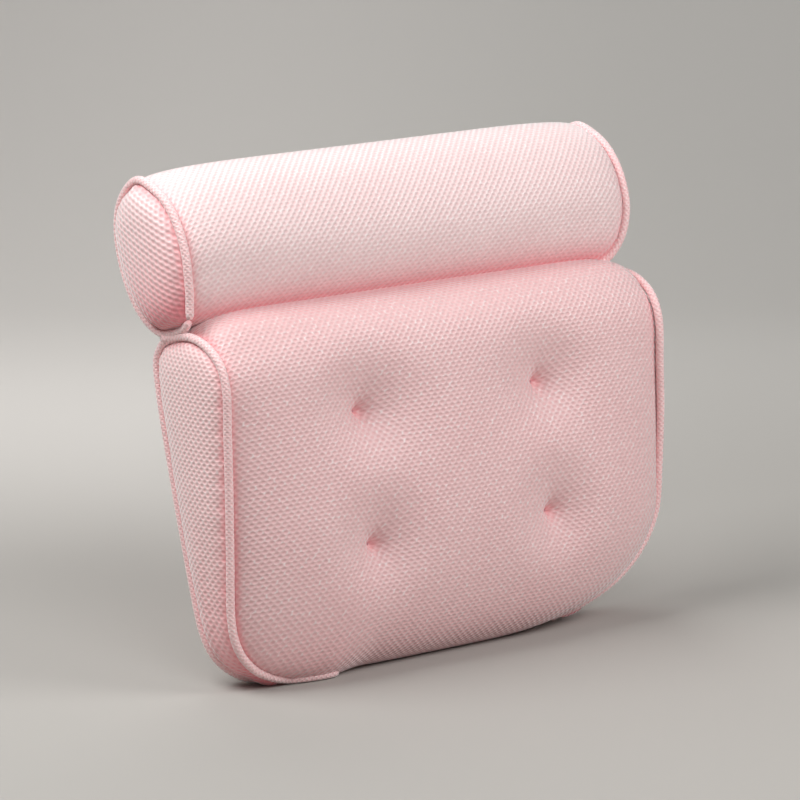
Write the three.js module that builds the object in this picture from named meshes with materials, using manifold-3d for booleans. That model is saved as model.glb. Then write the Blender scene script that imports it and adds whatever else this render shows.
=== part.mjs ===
// Bath pillow: a wedge-shaped pad with four sewn tufts, and a neck roll that folds back on a sewn
// line. Both are covered in thick air mesh, piped along the seams, and carry suction cups behind.
// Lengths are in millimetres. The pieces are made in the pillow's own frame and tipped back at the
// end: X to the right seen from the front, Y backwards from the flat back, Z up along the back.
// A depth is measured forwards from the flat back, so it is -Y. The finished pillow's origin is
// the middle of the flat on which it stands.

import * as THREE from "three";
import { mergeVertices } from "three/addons/utils/BufferGeometryUtils.js";
import Module from "manifold-3d";

const wasm = await Module();
wasm.setup();

// Stance
const leanDegrees = 18;
const footFlat = 0.5;

// Pad, measured to its seams
const padWidth = 348;
const padHeight = 228;
const padDepth = 90;
const gussetDepth = 81;
const gussetBulge = 9;
const gussetBulgeReach = 24;
const cornerFoot = 6;
const cornerRun = 110;
const cornerRise = 56;

// Tufts
const tuftSpacing = 145;
const tuftDepth = 15;
const tuftReach = 42;
const tuftCore = 7;
const tuftSkirt = 18;

// Neck roll, measured to its seams
const rollWidth = 354;
const rollHeight = 103;
const rollDepth = 79;
const rollEndDepth = 69;
const rollLift = 1.6;
const rollEndBulge = 12;
const rollEndBulgeReach = 22;

// Cloth, piping and sewing
const coverThickness = 3;
const fillingClearance = 0.9;
const seamClearance = 0.3;
const pipingRadius = 2.8;
const pipingEndGap = 0.8;
const pipingClearance = 0.6;
const joiningSeamLength = 270;
const joiningSeamClearance = 0.4;
const tieThreadRadius = 0.8;
const tieKnotRadius = 2.5;
const tieKnotThickness = 2;
const tieStitchRadius = 1.8;
const tieStitchHeight = 1.6;
const tieClearance = 0.5;
const tieStitchClearance = 1;

// Suction cups and what holds them
const cupRadius = 27;
const cupLip = 2.5;
const cupReach = 20;
const cupDishDepth = 9.5;
const cupEdge = 1.2;
const cupWall = 4.5;
const cupNeckRadius = 4;
const cupNeckLength = 3.7;
const cupHeadRadius = 6.5;
const cupHeadThickness = 3.2;
const patchRadius = 15;
const patchThickness = 1.2;
const retainerRadius = 10;
const retainerThickness = 1.5;
const neckClearance = 0.4;
const pocketClearance = 0.8;
const padCupSpacing = 210;
const upperCupHeight = 165;
const rollCupSpacing = 150;
const rollCupHeight = 38;

// Each row is one station round a section: depth and height at the end seam, then depth and height
// in the middle. The pad's stations start at the top of its back and go over the top and down the
// front. The roll's start at its foot and go up the back, over the top and down the front.
const padStationShares = [
  [0.15, 0.86, 0, 0.93],
  [0.205, 0.925, 0.007, 0.988],
  [0.31, 0.953, 0.055, 1],
  [0.48, 0.961, 0.36, 1.016],
  [0.7, 0.952, 0.63, 1.03],
  [0.865, 0.92, 0.855, 0.998],
  [0.975, 0.877, 0.965, 0.93],
  [0.994, 0.816, 1, 0.846],
  [0.905, 0.7, 0.956, 0.7],
  [0.76, 0.518, 0.905, 0.518],
  [0.6, 0.333, 0.838, 0.333],
  [0.475, 0.193, 0.711, 0.175],
  [0.39, 0.085, 0.511, 0.053],
  [0.33, 0.043, 0.367, 0.013],
  [0.257, 0.033, 0.233, 0],
  [0.18, 0.043, 0.133, 0.011],
  [0.125, 0.085, 0.045, 0.035],
  [0.098, 0.175, 0, 0.105],
  [0.092, 0.333, 0, 0.333],
  [0.11, 0.614, 0, 0.636],
];
const rollStationShares = [
  [0.54, 0.03, 0.468, 0.029],
  [0.362, 0.058, 0.076, 0.004],
  [0.203, 0.155, 0.008, 0.028],
  [0.072, 0.306, 0, 0.24],
  [0.022, 0.49, 0, 0.49],
  [0.041, 0.655, 0.013, 0.694],
  [0.123, 0.782, 0.095, 0.855],
  [0.283, 0.874, 0.253, 0.957],
  [0.5, 0.916, 0.468, 0.986],
  [0.696, 0.84, 0.696, 0.925],
  [0.862, 0.733, 0.873, 0.792],
  [0.971, 0.578, 0.975, 0.617],
  [1, 0.413, 1, 0.423],
  [0.964, 0.257, 0.949, 0.258],
  [0.877, 0.136, 0.842, 0.133],
  [0.74, 0.058, 0.684, 0.058],
];

// Stations at which each panel has a row of points, and where along the width its columns lie.
const padFrontRows = [
  1, 2, 3, 4, 5, 6, 7, 7.45, 7.79, 8, 8.17, 8.43, 9, 9.57, 9.83, 10, 10.2, 10.53, 11, 12, 13, 14,
  14.25, 14.5, 15, 15.5,
];
const padBackRows = [15.5, 16, 16.5, 17, 18, 19, 20, 21];
const rollRows = [
  0, 1, 2, 3, 4, 5, 6, 7, 8, 8.5, 9, 9.5, 10, 10.5, 11, 11.5, 12, 12.5, 13, 14, 14.5, 15, 16,
];
const padSideShares = [0.64, 0.8, 0.93, 1];
const rollColumnShares = [0, 0.3, 0.6, 0.8, 0.92, 1];
const upperTuftStation = 8;
const lowerTuftStation = 10;
const gussetTipStation = 14;
const padCornerStations = [0, 1, 2, 17, 18, 19];
const rollCornerStations = [1, 2, 3];
const padCreaseStation = 1.35;
const rollCreaseStation = 1.75;
const pipingJoinStation = 14.5;
const pipingEndShare = 0.5;
const sharpestCorner = 0.35;

// Shape of the swell: how squarely it fills the width, and how fast it rises from the seam.
const padSwell = { power: 4, root: 0.6 };
const rollSwell = { power: 6, root: 0.5 };
const cornerSwell = { power: 16, root: 0.5 };
const bulgeSwell = { power: 3, root: 0.5 };
const cornerPower = 2.3;
const sideRingShares = [1, 0.88, 0.55, 0.2];
const gussetSpineShares = [[0.257, 0.07], [0.55, 0.81]];
const rollSpineShares = [[0.51, 0.32], [0.51, 0.64]];
const dishShares = [[0, 0], [0.45, 0.17], [0.78, 0.55], [1, 1]];
const bellShares = [[0.8, 0.27], [0.5, 0.7]];
const cupShoulderShare = 1.7;
const roundOverShare = 0.7;

// Counts, and how finely two points are told apart
const cupSides = 14;
const tieSides = 8;
const pipingSides = 6;
const footSamples = 400;
const clearingPasses = 12;
const pointsPerLength = 1000;
const padPipingSteps = 60;
const rollPipingSteps = 34;

const cloth = { color: 0xe9c3c8, roughness: 0.85, metalness: 0 };
const pipingCloth = { color: 0xe6bfc4, roughness: 0.85, metalness: 0 };
const fibre = { color: 0xf4f2ee, roughness: 0.95, metalness: 0 };
const clearVinyl = { color: 0xe4eaec, roughness: 0.25, metalness: 0 };
const whitePlastic = { color: 0xf1f1ef, roughness: 0.4, metalness: 0 };

const leanRadians = THREE.MathUtils.degToRad(leanDegrees);
const leanSin = Math.sin(leanRadians);
const leanCos = Math.cos(leanRadians);
const rollFoot = padHeight + rollLift;

function swell(share, shape) {
  const filled = 1 - Math.pow(Math.min(Math.abs(share), 1), shape.power);
  return Math.pow(filled, shape.root);
}

function wholeRow(halfRow) {
  const mirrored = halfRow.filter((share) => share > 0).map((share) => -share);
  return [...mirrored.reverse(), ...halfRow];
}

// The pad's outline seen from the front: straight sides and drawn-in bottom corners.
function cornerDrop(height) {
  return THREE.MathUtils.clamp(1 - (height - cornerFoot) / cornerRise, 0, 1);
}

function padHalfWidth(height) {
  const reach = Math.pow(1 - Math.pow(cornerDrop(height), cornerPower), 1 / cornerPower);
  return padWidth / 2 - cornerRun * (1 - reach);
}

function padOutward(height, side) {
  const drop = cornerDrop(height);
  const reach = 1 - (padWidth / 2 - padHalfWidth(height)) / cornerRun;
  const sideways = Math.pow(reach, cornerPower - 1) / cornerRun;
  const downwards = Math.pow(drop, cornerPower - 1) / cornerRise;
  return new THREE.Vector3(side * sideways, 0, -downwards).normalize();
}

const padForm = {
  stationShares: padStationShares,
  endDepth: gussetDepth,
  middleDepth: padDepth,
  height: padHeight,
  foot: 0,
  swell: padSwell,
  cornerStations: padCornerStations,
  halfWidth: padHalfWidth,
  outward: padOutward,
  spineShares: gussetSpineShares,
  bulge: gussetBulge,
  bulgeReach: gussetBulgeReach,
};
const rollForm = {
  stationShares: rollStationShares,
  endDepth: rollEndDepth,
  middleDepth: rollDepth,
  height: rollHeight,
  foot: rollFoot,
  swell: rollSwell,
  cornerStations: rollCornerStations,
  halfWidth: () => rollWidth / 2,
  outward: (height, side) => new THREE.Vector3(side, 0, 0),
  spineShares: rollSpineShares,
  bulge: rollEndBulge,
  bulgeReach: rollEndBulgeReach,
};

// One closed section curve of a form, at a share of its half width.
function sectionCurve(form, widthShare) {
  const points = form.stationShares.map((row, station) => {
    const atCorner = form.cornerStations.includes(station);
    const fill = swell(widthShare, atCorner ? cornerSwell : form.swell);
    const depth = THREE.MathUtils.lerp(row[0] * form.endDepth, row[2] * form.middleDepth, fill);
    const rise = THREE.MathUtils.lerp(row[1], row[3], fill) * form.height;
    return new THREE.Vector3(0, -depth, form.foot + rise);
  });
  return new THREE.CatmullRomCurve3(points, true, "centripetal");
}

function atStation(curve, station) {
  const count = curve.points.length;
  return curve.getPoint((station % count) / count);
}

const padMiddle = sectionCurve(padForm, 0);
const rollMiddle = sectionCurve(rollForm, 0);

// The four tufts pull the front in towards these points.
function tuftPoint(side, station) {
  const halfSpacing = tuftSpacing / 2;
  const curve = sectionCurve(padForm, halfSpacing / (padWidth / 2));
  const point = atStation(curve, station);
  return new THREE.Vector3(side * halfSpacing, point.y, point.z);
}

const tuftPoints = [upperTuftStation, lowerTuftStation].flatMap((station) => [
  tuftPoint(-1, station),
  tuftPoint(1, station),
]);

function tuftPull(point) {
  let pull = 0;
  for (const tuft of tuftPoints) {
    const away = Math.hypot(point.x - tuft.x, point.z - tuft.z) / tuftReach;
    if (away < 1) pull += tuftDepth * Math.pow(1 - away, 2);
  }
  return -point.y > gussetDepth / 2 ? pull : 0;
}

// A grid of points over the stations and the width of a form.
function formGrid(form, stations, widthShares) {
  const curves = widthShares.map((share) => sectionCurve(form, share));
  const seam = sectionCurve(form, 1);
  return stations.map((station) => {
    const half = form.halfWidth(atStation(seam, station).z);
    return widthShares.map((share, column) => {
      const point = atStation(curves[column], station);
      point.x = share * half;
      if (form === padForm) point.y += tuftPull(point);
      return point;
    });
  });
}

// A skin holds the outer surface of a cushion as panels of triangles that share their points.
class Skin {
  constructor() {
    this.points = [];
    this.found = new Map();
    this.panels = {};
  }

  index(point) {
    const key = point.toArray().map((value) => Math.round(value * pointsPerLength)).join(" ");
    if (!this.found.has(key)) {
      this.found.set(key, this.points.length);
      this.points.push(point);
    }
    return this.found.get(key);
  }

  triangle(panel, a, b, c) {
    if (a === b || b === c || c === a) return;
    (this.panels[panel] ??= []).push([a, b, c]);
  }

  addGrid(panel, grid) {
    const rows = grid.map((row) => row.map((point) => this.index(point)));
    for (let row = 0; row + 1 < rows.length; row += 1) {
      for (let column = 0; column + 1 < rows[row].length; column += 1) {
        const [a, b] = [rows[row][column], rows[row][column + 1]];
        const [c, d] = [rows[row + 1][column], rows[row + 1][column + 1]];
        if (column < (rows[row].length - 1) / 2) {
          this.triangle(panel, a, c, d);
          this.triangle(panel, a, d, b);
        } else {
          this.triangle(panel, a, c, b);
          this.triangle(panel, b, c, d);
        }
      }
    }
  }

  // A side panel from its seam inwards: bands of triangles, then a flat-ish middle.
  addSide(panel, rings, side) {
    const loops = rings.map((ring) => ring.map((point) => this.index(point)));
    const face = (a, b, c) => (side > 0 ? this.triangle(panel, a, b, c) : this.triangle(panel, a, c, b));
    for (let band = 0; band + 1 < loops.length; band += 1) {
      const [outer, inner] = [loops[band], loops[band + 1]];
      outer.forEach((start, place) => {
        const next = (place + 1) % outer.length;
        face(inner[place], start, outer[next]);
        face(inner[place], outer[next], inner[next]);
      });
    }
    this.closeLoop(loops.at(-1), face);
  }

  // Fills a loop with triangles laid across it, from its top to its bottom.
  closeLoop(loop, face) {
    const heights = loop.map((index) => this.points[index].z);
    const top = heights.indexOf(Math.max(...heights));
    const bottom = heights.indexOf(Math.min(...heights));
    const count = loop.length;
    let [down, up] = [top, top];
    while (down !== bottom || up !== bottom) {
      const [nextDown, nextUp] = [(down + 1) % count, (up + count - 1) % count];
      if (up === bottom || (down !== bottom && heights[nextDown] > heights[nextUp])) {
        face(loop[up], loop[down], loop[nextDown]);
        down = nextDown;
      } else {
        face(loop[down], loop[nextUp], loop[up]);
        up = nextUp;
      }
    }
  }

  distance(point) {
    const nearest = new THREE.Vector3();
    const faces = Object.values(this.panels).flat();
    return Math.min(...faces.map((corners) => {
      const face = new THREE.Triangle(...corners.map((index) => this.points[index]));
      return face.closestPointToPoint(point, nearest).distanceTo(point);
    }));
  }

  // The outward direction at every point, weighted by the angle of each face there.
  outward() {
    const sums = this.points.map(() => new THREE.Vector3());
    for (const [a, b, c] of Object.values(this.panels).flat()) {
      const corners = [a, b, c].map((index) => this.points[index]);
      const normal = new THREE.Triangle(...corners).getNormal(new THREE.Vector3());
      [a, b, c].forEach((index, place) => {
        const here = corners[place];
        const first = corners[(place + 1) % 3].clone().sub(here);
        const second = corners[(place + 2) % 3].clone().sub(here);
        sums[index].addScaledVector(normal, first.angleTo(second));
      });
    }
    return sums.map((sum) => sum.normalize());
  }
}

// The rings of a side panel: the seam itself, then loops that close in on a spine and bulge out.
function sideRings(form, seam, side) {
  const [foot, head] = form.spineShares.map(([depth, height]) =>
    new THREE.Vector3(0, -depth * form.endDepth, form.foot + height * form.height),
  );
  const spine = new THREE.Line3(foot, head);
  return sideRingShares.map((share) => seam.map((point) => {
    const flat = new THREE.Vector3(0, point.y, point.z);
    const middle = spine.closestPointToPoint(flat, true, new THREE.Vector3());
    const width = Math.min(flat.distanceTo(middle) / form.bulgeReach, 1);
    const placed = middle.clone().lerp(flat, share);
    placed.x = side * form.halfWidth(placed.z);
    const bulge = form.bulge * width * swell(share, bulgeSwell);
    return placed.addScaledVector(form.outward(placed.z, side), bulge);
  }));
}

function columnOf(grid, column) {
  return grid.map((row) => row.at(column).clone());
}

function padSkin() {
  const tuftShare = tuftSpacing / padWidth;
  const tuftOffsets = [-tuftSkirt, -tuftCore, 0, tuftCore, tuftSkirt];
  const tuftColumns = tuftOffsets.map((offset) => tuftShare + offset / (padWidth / 2));
  const columns = wholeRow([0, tuftShare / 2, ...tuftColumns, ...padSideShares]);
  const front = formGrid(padForm, padFrontRows, columns);
  const back = formGrid(padForm, padBackRows, columns);
  const skin = new Skin();
  skin.addGrid("front", front);
  skin.addGrid("back", back);
  for (const [name, side, column] of [["left", -1, 0], ["right", 1, -1]]) {
    const seam = [...columnOf(front, column), ...columnOf(back, column).slice(1, -1)];
    skin.addSide(name, sideRings(padForm, seam, side), side);
  }
  return skin;
}

function rollSkin() {
  const grid = formGrid(rollForm, rollRows, wholeRow(rollColumnShares));
  const skin = new Skin();
  skin.addGrid("cover", grid);
  for (const [name, side, column] of [["left", -1, 0], ["right", 1, -1]]) {
    const seam = columnOf(grid, column).slice(0, -1);
    skin.addSide(name, sideRings(rollForm, seam, side), side);
  }
  return skin;
}

// Where a point of the pillow's own frame comes once it leans: backwards, and up from the floor.
function leant(point) {
  const back = point.y * leanCos + point.z * leanSin;
  return { back, up: point.z * leanCos - point.y * leanSin };
}

// The foot is the lowest line of the leaning pillow, pressed flat where it meets the floor.
const lowest = padMiddle.getPoints(footSamples).map(leant).sort((a, b) => a.up - b.up)[0];
const footHeight = lowest.up + footFlat;

function pressFlat(point) {
  const below = footHeight - leant(point).up;
  if (below > 0) point.add(new THREE.Vector3(0, -leanSin * below, leanCos * below));
  return point;
}

function geometryFrom(points, triangles) {
  const geometry = new THREE.BufferGeometry().setFromPoints(points);
  geometry.setIndex(triangles.flat());
  return geometry;
}

// The edges of a panel that only one of its triangles has, as start, end and face normal.
function borderEdges(skin, triangles) {
  const edges = new Map();
  for (const corners of triangles) {
    const points = corners.map((index) => skin.points[index]);
    const normal = new THREE.Triangle(...points).getNormal(new THREE.Vector3());
    corners.forEach((start, place) => {
      const end = corners[(place + 1) % 3];
      if (edges.has(`${end} ${start}`)) edges.delete(`${end} ${start}`);
      else edges.set(`${start} ${end}`, { start, end, normal });
    });
  }
  return [...edges.values()];
}

// How far each border point steps back into its panel to leave the seam's clearance. The step is
// longer at a sharp corner, so that both edges there keep the clearance.
function borderSteps(skin, edges) {
  const steps = new Map();
  for (const { start, end, normal } of edges) {
    const along = skin.points[end].clone().sub(skin.points[start]).normalize();
    const inward = normal.clone().cross(along);
    for (const index of [start, end]) {
      if (!steps.has(index)) steps.set(index, { step: new THREE.Vector3(), inward });
      steps.get(index).step.add(inward);
    }
  }
  return new Map([...steps].map(([index, { step, inward }]) => {
    const openness = Math.max(step.normalize().dot(inward), sharpestCorner);
    return [index, step.multiplyScalar(seamClearance / openness)];
  }));
}

// A panel of cloth as a closed solid: outer face, inner face and the edge between them.
function clothPanel(skin, outward, panel) {
  const triangles = skin.panels[panel];
  const edges = borderEdges(skin, triangles);
  const steps = borderSteps(skin, edges);
  const outer = [];
  const inner = [];
  const used = new Map();
  for (const index of triangles.flat()) {
    if (used.has(index)) continue;
    used.set(index, outer.length);
    const point = skin.points[index].clone();
    if (steps.has(index)) point.add(steps.get(index));
    inner.push(point.clone().addScaledVector(outward[index], -coverThickness));
    outer.push(pressFlat(point));
  }
  const count = outer.length;
  const faces = triangles.map((corners) => corners.map((index) => used.get(index)));
  const insideFaces = faces.map(([a, b, c]) => [a + count, c + count, b + count]);
  const edgeFaces = edges.flatMap(({ start, end }) => {
    const [a, b] = [used.get(start), used.get(end)];
    // Both panels at a seam split their edge faces along the same diagonal.
    if (start < end) return [[b, a, b + count], [a, a + count, b + count]];
    return [[b, a, a + count], [b, a + count, b + count]];
  });
  return geometryFrom([...outer, ...inner], [...faces, ...insideFaces, ...edgeFaces]);
}

// The filling is the whole skin, shrunk by the cloth and its clearance.
function filling(skin, outward) {
  const shrink = coverThickness + fillingClearance;
  const points = skin.points.map((point, index) =>
    point.clone().addScaledVector(outward[index], -shrink),
  );
  return geometryFrom(points, Object.values(skin.panels).flat());
}

// Joining and cutting
function solidOf(geometry) {
  const bare = geometry.clone();
  bare.deleteAttribute("normal");
  bare.deleteAttribute("uv");
  const merged = mergeVertices(bare);
  return new wasm.Manifold(new wasm.Mesh({
    numProp: 3,
    vertProperties: merged.attributes.position.array,
    triVerts: new Uint32Array(merged.index.array),
  }));
}

function cut(geometry, cutters) {
  let solid = solidOf(geometry);
  for (const cutter of cutters) solid = solid.subtract(solidOf(cutter));
  const mesh = solid.getMesh();
  const result = new THREE.BufferGeometry();
  result.setAttribute("position", new THREE.BufferAttribute(mesh.vertProperties, 3));
  result.setIndex(new THREE.BufferAttribute(mesh.triVerts, 1));
  return result;
}

// A round cutter along Y, centred on a place of the back plane.
function roundCutter(place, radius, front, back, sides) {
  const cylinder = new THREE.CylinderGeometry(radius, radius, back - front, sides);
  return cylinder.translate(place.x, (front + back) / 2, place.z);
}

function lathe(profile, sides) {
  return new THREE.LatheGeometry(profile.map(([x, y]) => new THREE.Vector2(x, y)), sides);
}

// Cups: where their studs go through the back, as X and Z.
const lowerCupHeight = (footHeight + cupReach * leanSin) / leanCos + cupRadius;

function cupPair(spacing, height) {
  return [-1, 1].map((side) => new THREE.Vector3(side * (spacing / 2), 0, height));
}

const padCupPlaces = [
  ...cupPair(padCupSpacing, lowerCupHeight),
  ...cupPair(padCupSpacing, upperCupHeight),
];
const rollCupPlaces = cupPair(rollCupSpacing, rollFoot + rollCupHeight);

const patchBack = seamClearance + patchThickness;
const retainerFront = -(coverThickness + seamClearance + retainerThickness);
const headBack = retainerFront - seamClearance;
const cupShoulder = patchBack + cupNeckLength;

// Suction cup: dish, sealing lip, bell, neck through the cloth, and the stud's head inside.
function suctionCup() {
  const dishRadius = cupRadius - cupLip;
  const dish = dishShares.map(([out, back]) => [
    out * dishRadius,
    cupReach - cupDishDepth * (1 - back),
  ]);
  const bellFoot = cupReach - cupEdge;
  const bellTop = cupReach - cupDishDepth - cupWall;
  const bell = bellShares.map(([out, rise]) => [
    out * cupRadius,
    THREE.MathUtils.lerp(bellFoot, bellTop, rise),
  ]);
  const stud = [
    [cupNeckRadius * cupShoulderShare, bellTop],
    [cupNeckRadius, Math.min(cupShoulder, bellTop)],
    [cupNeckRadius, headBack],
    [cupHeadRadius, headBack],
    [cupHeadRadius * roundOverShare, headBack - cupHeadThickness],
    [0, headBack - cupHeadThickness],
  ];
  const edge = [[cupRadius, cupReach], [cupRadius, bellFoot]];
  return lathe([...dish, ...edge, ...bell, ...stud].reverse(), cupSides);
}

function washer(radius, front, back) {
  const hole = cupNeckRadius + neckClearance;
  const profile = [[hole, front], [radius, front], [radius, back], [hole, back], [hole, front]];
  return lathe(profile, cupSides);
}

// Tuft tie: a stitch in the bottom of the dimple, the thread, and a knot behind the back.
function tuftTie(tuft) {
  const stitchSlope = (2 * tuftDepth) / tuftReach;
  const dimple = tuft.y + tuftDepth;
  const threadEnd = dimple - tieStitchClearance - tieThreadRadius * stitchSlope;
  const stitchEdge = dimple - tieStitchClearance - tieStitchRadius * stitchSlope;
  const knotFront = seamClearance;
  const profile = [
    [0, stitchEdge - tieStitchHeight],
    [tieStitchRadius * roundOverShare, stitchEdge - tieStitchHeight * roundOverShare],
    [tieStitchRadius, stitchEdge],
    [tieThreadRadius, threadEnd],
    [tieThreadRadius, knotFront],
    [tieKnotRadius, knotFront],
    [tieKnotRadius * roundOverShare, knotFront + tieKnotThickness],
    [0, knotFront + tieKnotThickness],
  ];
  return lathe(profile, tieSides);
}

// Joining seam: a bead that fills the crease between the pad's top and the roll's foot, where the
// crease opens at the back.
const crease = new THREE.Line3(
  atStation(padMiddle, padCreaseStation),
  atStation(rollMiddle, rollCreaseStation),
);

function joiningSeam() {
  const radius = crease.distance() / 2 - joiningSeamClearance;
  const bead = new THREE.CylinderGeometry(radius, radius, joiningSeamLength, tieSides);
  return bead.rotateZ(Math.PI / 2);
}

// Piping: a round cord along a seam, standing clear of the two panels that meet there.
function pipingTube(centres, steps) {
  const section = new THREE.Shape();
  section.absarc(0, 0, pipingRadius, 0, Math.PI * 2);
  return new THREE.ExtrudeGeometry(section, {
    steps,
    bevelEnabled: false,
    curveSegments: pipingSides / 2,
    extrudePath: new THREE.CatmullRomCurve3(centres, false, "centripetal"),
  });
}

// Each centre moves out from the seam until the cord is clear of the cloth on both sides.
function seamCentres(skin, outward, seam) {
  const stand = pipingRadius + pipingClearance;
  return seam.map((point) => {
    const direction = outward[skin.index(point)];
    const centre = point.clone().addScaledVector(direction, stand);
    for (let pass = 0; pass < clearingPasses; pass += 1) {
      const short = stand - skin.distance(centre);
      if (short > 0) centre.addScaledVector(direction, short);
    }
    return centre;
  });
}

// The pad's cord runs from one side of the gusset's tip round to the other side of it.
function padPiping(skin, outward, column) {
  const rows = [...padFrontRows, ...padBackRows.slice(1, -1)];
  const seam = formGrid(padForm, rows, [Math.sign(column)]).map((row) => row[0]);
  const centres = seamCentres(skin, outward, seam);
  const tip = rows.indexOf(gussetTipStation);
  const after = rows.indexOf(gussetTipStation + 1);
  const route = [...centres.slice(after), ...centres.slice(0, tip)];
  route.unshift(route[0].clone().lerp(centres[tip], pipingEndShare));
  route.push(route.at(-1).clone().lerp(centres[tip], pipingEndShare));
  return pipingTube(route, padPipingSteps);
}

// The roll's cord closes on itself behind the lower front edge.
function rollPiping(skin, outward, side) {
  const seam = formGrid(rollForm, rollRows, [side]).map((row) => row[0]);
  const centres = seamCentres(skin, outward, seam);
  const start = rollRows.indexOf(pipingJoinStation);
  const route = [...centres.slice(start), ...centres.slice(1, start)];
  const back = route.at(-1).clone().sub(route[0]).setLength(pipingEndGap);
  return pipingTube([...route, route[0].clone().add(back)], rollPipingSteps);
}

// Assembly
const lean = new THREE.Group();
lean.rotation.x = -leanRadians;
lean.position.set(0, -lowest.back, -footHeight);

function add(name, geometry, finish, place) {
  const mesh = new THREE.Mesh(geometry, new THREE.MeshStandardMaterial(finish));
  mesh.name = name;
  if (place) mesh.position.copy(place);
  lean.add(mesh);
}

function backHoles(places) {
  const radius = cupNeckRadius + neckClearance;
  return places.map((place) => roundCutter(place, radius, headBack, patchBack, cupSides));
}

function pockets(places) {
  const deepest = headBack - cupHeadThickness - pocketClearance;
  const radius = retainerRadius + pocketClearance;
  return places.map((place) => roundCutter(place, radius, deepest, 0, cupSides));
}

function tieHoles(front, back) {
  const radius = tieThreadRadius + tieClearance;
  return tuftPoints.map((tuft) => roundCutter(tuft, radius, front, back, tieSides));
}

function addPad() {
  const skin = padSkin();
  const outward = skin.outward();
  const panel = (name) => clothPanel(skin, outward, name);
  const middle = -gussetDepth / 2;
  const backTieHoles = tieHoles(middle, patchBack);
  add("pad_front_cover", cut(panel("front"), tieHoles(-padDepth, middle)), cloth);
  add("pad_back_cover", cut(panel("back"), [...backHoles(padCupPlaces), ...backTieHoles]), cloth);
  add("pad_left_gusset", panel("left"), cloth);
  add("pad_right_gusset", panel("right"), cloth);
  const hollows = [...pockets(padCupPlaces), ...tieHoles(-padDepth, 0)];
  add("pad_filling", cut(filling(skin, outward), hollows), fibre);
  add("pad_left_piping", padPiping(skin, outward, -1), pipingCloth);
  add("pad_right_piping", padPiping(skin, outward, 1), pipingCloth);
}

function addTies() {
  tuftPoints.forEach((tuft, place) => {
    add(`tuft_tie_${place + 1}`, tuftTie(tuft), pipingCloth, new THREE.Vector3(tuft.x, 0, tuft.z));
  });
}

function addRoll() {
  const skin = rollSkin();
  const outward = skin.outward();
  add("roll_cover", cut(clothPanel(skin, outward, "cover"), backHoles(rollCupPlaces)), cloth);
  add("roll_left_end", clothPanel(skin, outward, "left"), cloth);
  add("roll_right_end", clothPanel(skin, outward, "right"), cloth);
  add("roll_filling", cut(filling(skin, outward), pockets(rollCupPlaces)), fibre);
  add("roll_left_piping", rollPiping(skin, outward, -1), pipingCloth);
  add("roll_right_piping", rollPiping(skin, outward, 1), pipingCloth);
}

function addCups() {
  [...padCupPlaces, ...rollCupPlaces].forEach((place, index) => {
    const number = index + 1;
    add(`suction_cup_${number}`, suctionCup(), clearVinyl, place);
    add(`cup_patch_${number}`, washer(patchRadius, seamClearance, patchBack), cloth, place);
    const retainer = washer(retainerRadius, retainerFront, -(coverThickness + seamClearance));
    add(`cup_retainer_${number}`, retainer, whitePlastic, place);
  });
}

addPad();
addTies();
addRoll();
add("joining_seam", joiningSeam(), pipingCloth, crease.getCenter(new THREE.Vector3()));
addCups();

const pillow = new THREE.Group();
pillow.name = "bath_pillow";
pillow.add(lean);

export default pillow;
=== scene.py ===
"""A bath pillow in pale pink air mesh: a pad with four tufts and piped gussets, and a neck roll that
folds back on a sewn line, with clear suction cups behind.

Lengths are in metres. The cushions are made in the pillow's own frame and tipped back at the end:
X to the right seen from the front, Y backwards from the flat back, Z up along the back. A depth is
measured forwards from the flat back, so it is -Y.
"""

import math
from types import SimpleNamespace

import bpy
import numpy as np
from mathutils import Matrix, Vector
from mathutils.geometry import delaunay_2d_cdt


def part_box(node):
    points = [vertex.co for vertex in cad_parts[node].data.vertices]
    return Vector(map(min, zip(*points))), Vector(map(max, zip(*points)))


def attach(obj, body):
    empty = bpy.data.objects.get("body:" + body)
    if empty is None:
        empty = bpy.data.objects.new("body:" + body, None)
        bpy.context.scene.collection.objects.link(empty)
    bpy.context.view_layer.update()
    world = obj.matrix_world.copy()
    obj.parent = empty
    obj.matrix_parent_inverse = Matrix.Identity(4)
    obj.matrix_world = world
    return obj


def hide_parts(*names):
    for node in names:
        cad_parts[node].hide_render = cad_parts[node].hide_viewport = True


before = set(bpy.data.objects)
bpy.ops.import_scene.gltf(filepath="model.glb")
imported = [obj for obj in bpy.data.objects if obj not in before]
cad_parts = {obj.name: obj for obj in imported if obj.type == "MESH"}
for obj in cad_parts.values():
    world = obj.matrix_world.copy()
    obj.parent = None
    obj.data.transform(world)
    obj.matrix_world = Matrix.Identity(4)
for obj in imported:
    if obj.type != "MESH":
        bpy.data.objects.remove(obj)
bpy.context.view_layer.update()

# Camera, worked out from the photograph
camera_azimuth_degrees = 37.8
camera_elevation_degrees = 12.4
camera_distance = 3.02
camera_to_right = -0.0187
camera_up = 0.1635
camera_lens_mm = 209
camera_sensor_mm = 36

# Where the pillow's own frame stands in the part's frame
lean_degrees = 18
stand = Vector((0, 0.0148, -0.00628))

# Pad, measured to its seams
pad_width = 0.348
pad_height = 0.228
pad_depth = 0.090
gusset_depth = 0.081
gusset_bulge = 0.009
gusset_bulge_reach = 0.024
corner_foot = 0.006
corner_run = 0.110
corner_rises = {-1: 0.053, 1: 0.067}
corner_powers = {-1: 3.5, 1: 2.0}
corner_sag = 0.006
sag_from = 0.070
sag_until = 0.112
sag_top = 0.060

# Tufts
tuft_spacing = 0.145
tuft_depth = 0.017
tuft_reach = 0.048
pinch_depth = 0.005
pinch_reach = 0.013
gather_share = 0.3
gather_reach = 0.009
tip_reach = 0.003

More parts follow.
